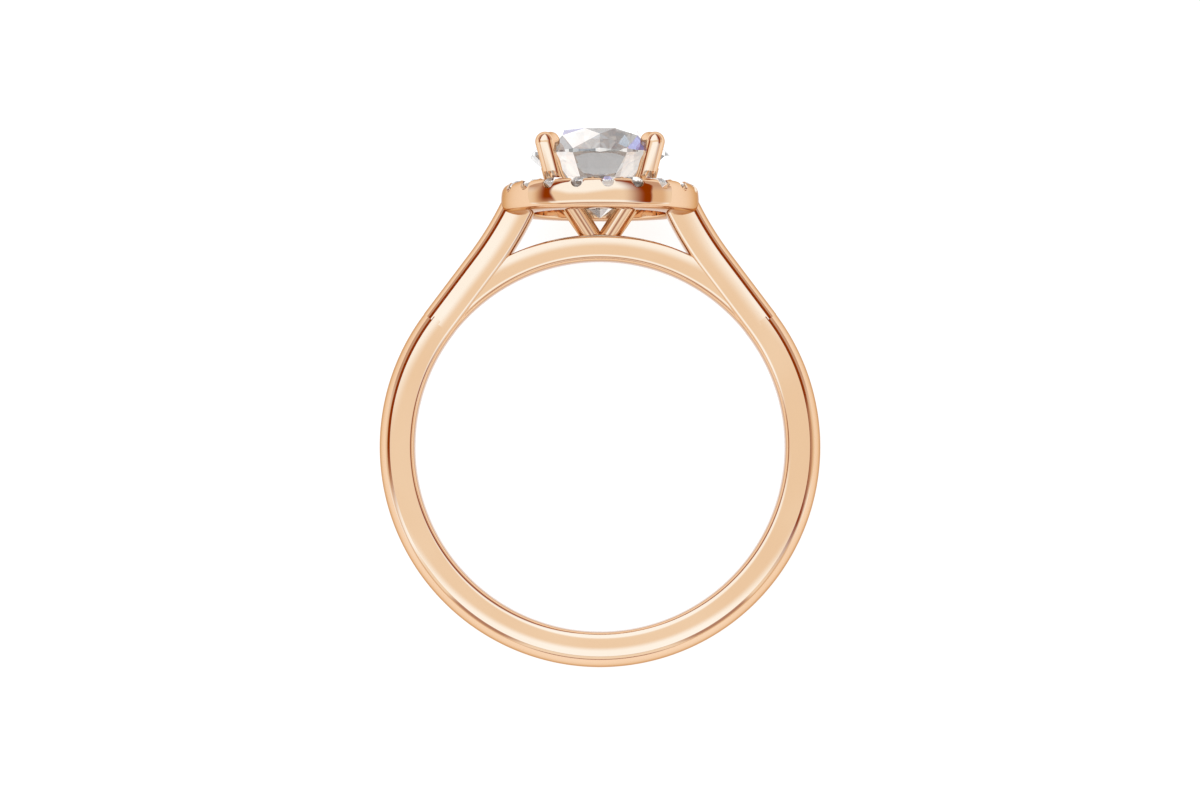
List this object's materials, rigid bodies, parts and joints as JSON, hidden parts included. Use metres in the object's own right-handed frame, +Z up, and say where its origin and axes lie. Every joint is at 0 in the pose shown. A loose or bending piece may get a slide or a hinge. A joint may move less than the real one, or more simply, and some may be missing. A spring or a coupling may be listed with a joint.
{
  "type": "halo ring",
  "caption": "Rose-gold finger ring with a round centre stone in claws above a round halo of small stones, lying on its side.",
  "frame": {"origin": "centre of the finger hole, halfway through the band", "axes": "the ring lies on its side on a level surface: +Z up, +Y along the surface from the finger hole to the head, +X across the ring"},
  "size_m": [0.0206, 0.025, 0.0093],
  "materials": {
    "rose_gold": "high polish",
    "centre_diamond": "cut and polished",
    "halo_diamond": "cut and polished"
  },
  "bodies": {
    "root": {"ring_mount": "rose_gold", "centre_stone": "centre_diamond", "halo_stone_01": "halo_diamond", "halo_stone_02": "halo_diamond", "halo_stone_03": "halo_diamond", "halo_stone_04": "halo_diamond", "halo_stone_05": "halo_diamond", "halo_stone_06": "halo_diamond", "halo_stone_07": "halo_diamond", "halo_stone_08": "halo_diamond", "halo_stone_09": "halo_diamond", "halo_stone_10": "halo_diamond", "halo_stone_11": "halo_diamond", "halo_stone_12": "halo_diamond", "halo_stone_13": "halo_diamond", "halo_stone_14": "halo_diamond", "halo_stone_15": "halo_diamond", "halo_stone_16": "halo_diamond", "halo_stone_17": "halo_diamond", "halo_stone_18": "halo_diamond", "halo_stone_19": "halo_diamond", "halo_stone_20": "halo_diamond"}
  },
  "joints": []
}
